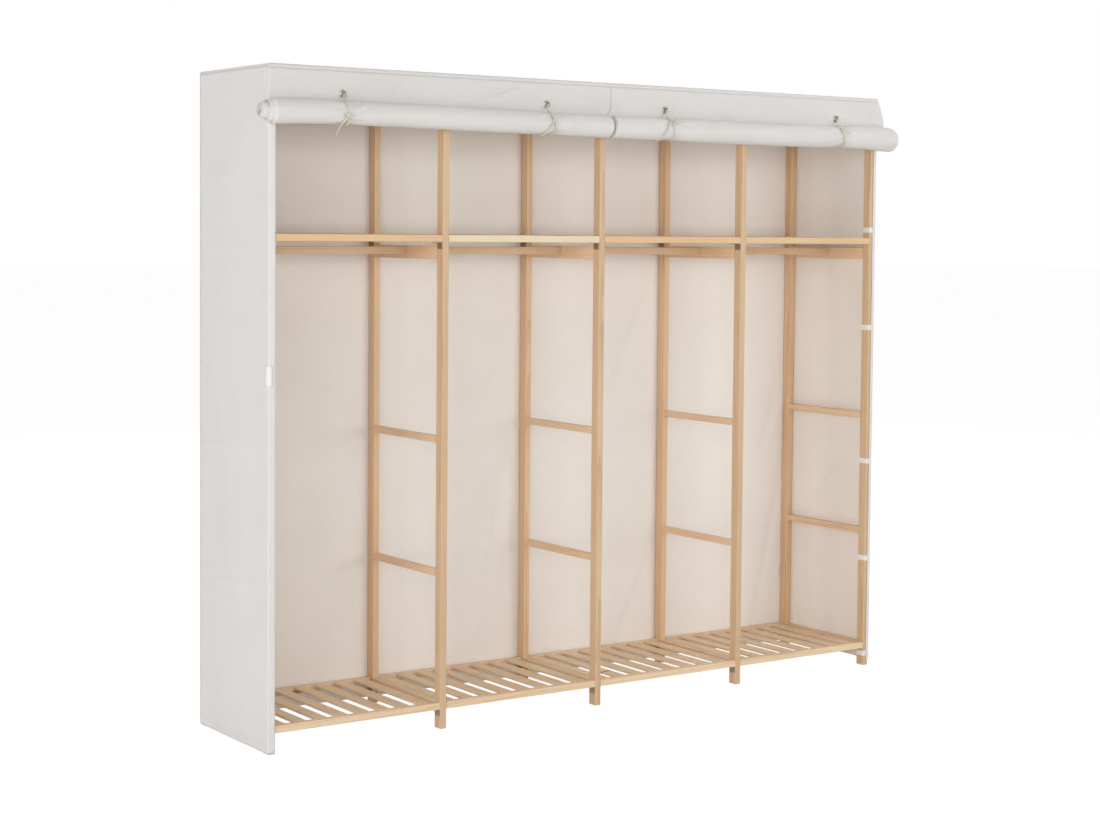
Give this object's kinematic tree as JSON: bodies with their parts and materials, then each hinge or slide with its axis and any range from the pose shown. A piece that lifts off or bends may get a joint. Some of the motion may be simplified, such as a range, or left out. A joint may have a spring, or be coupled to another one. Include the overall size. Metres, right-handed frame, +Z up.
{
  "type": "portable fabric wardrobe",
  "caption": "Wide open wardrobe of slim pine ladder frames with slatted shelves and hanging rails in an off-white cloth cover; the front curtains are rolled up and tied.",
  "frame": {"origin": "on the floor, below the middle of the object's box", "axes": "+Z up, -Y towards the open front, +X to the right as seen from the front, along the width"},
  "size_m": [2.054, 0.4664, 1.7],
  "materials": {
    "frame_pine": "satin",
    "rung_pine": "satin",
    "rail_pine": "satin",
    "shelf_pine": "satin",
    "cover_cloth": "matte",
    "back_cloth": "matte",
    "curtain_cloth": "matte",
    "tie_cord": "matte"
  },
  "bodies": {
    "wardrobe": {"front_post_1": "frame_pine", "rear_post_1": "frame_pine", "shelf_rung_1": "rung_pine", "upper_middle_rung_1": "rung_pine", "lower_middle_rung_1": "rung_pine", "base_rung_1": "rung_pine", "top_rung_1": "rung_pine", "front_post_2": "frame_pine", "rear_post_2": "frame_pine", "shelf_rung_2": "rung_pine", "upper_middle_rung_2": "rung_pine", "lower_middle_rung_2": "rung_pine", "base_rung_2": "rung_pine", "top_rung_2": "rung_pine", "front_post_3": "frame_pine", "rear_post_3": "frame_pine", "shelf_rung_3": "rung_pine", "upper_middle_rung_3": "rung_pine", "lower_middle_rung_3": "rung_pine", "base_rung_3": "rung_pine", "top_rung_3": "rung_pine", "front_post_4": "frame_pine", "rear_post_4": "frame_pine", "shelf_rung_4": "rung_pine", "upper_middle_rung_4": "rung_pine", "lower_middle_rung_4": "rung_pine", "base_rung_4": "rung_pine", "top_rung_4": "rung_pine", "front_post_5": "frame_pine", "rear_post_5": "frame_pine", "shelf_rung_5": "rung_pine", "upper_middle_rung_5": "rung_pine", "lower_middle_rung_5": "rung_pine", "base_rung_5": "rung_pine", "top_rung_5": "rung_pine", "top_front_rail": "frame_pine", "top_rear_rail": "frame_pine", "hanging_rail_1": "rail_pine", "base_shelf_1": "shelf_pine", "top_shelf_1": "shelf_pine", "hanging_rail_2": "rail_pine", "base_shelf_2": "shelf_pine", "top_shelf_2": "shelf_pine", "hanging_rail_3": "rail_pine", "base_shelf_3": "shelf_pine", "top_shelf_3": "shelf_pine", "hanging_rail_4": "rail_pine", "base_shelf_4": "shelf_pine", "top_shelf_4": "shelf_pine", "cover_top": "cover_cloth", "cover_left_side": "cover_cloth", "cover_right_side": "cover_cloth", "front_valance": "cover_cloth", "cover_back": "back_cloth", "tie_1": "tie_cord", "tie_2": "tie_cord", "tie_3": "tie_cord", "tie_4": "tie_cord"},
    "left_curtain": {"curtain_roll_left": "curtain_cloth"},
    "right_curtain": {"curtain_roll_right": "curtain_cloth"}
  },
  "joints": [
    {"name": "left_curtain_drop", "type": "slide", "parent": "wardrobe", "child": "left_curtain", "axis": [0, 0, -1], "range_m": [0, 1.52], "deforming": ["tie_1", "tie_2"]},
    {"name": "right_curtain_drop", "type": "slide", "parent": "wardrobe", "child": "right_curtain", "axis": [0, 0, -1], "range_m": [0, 1.52], "deforming": ["tie_3", "tie_4"]}
  ]
}
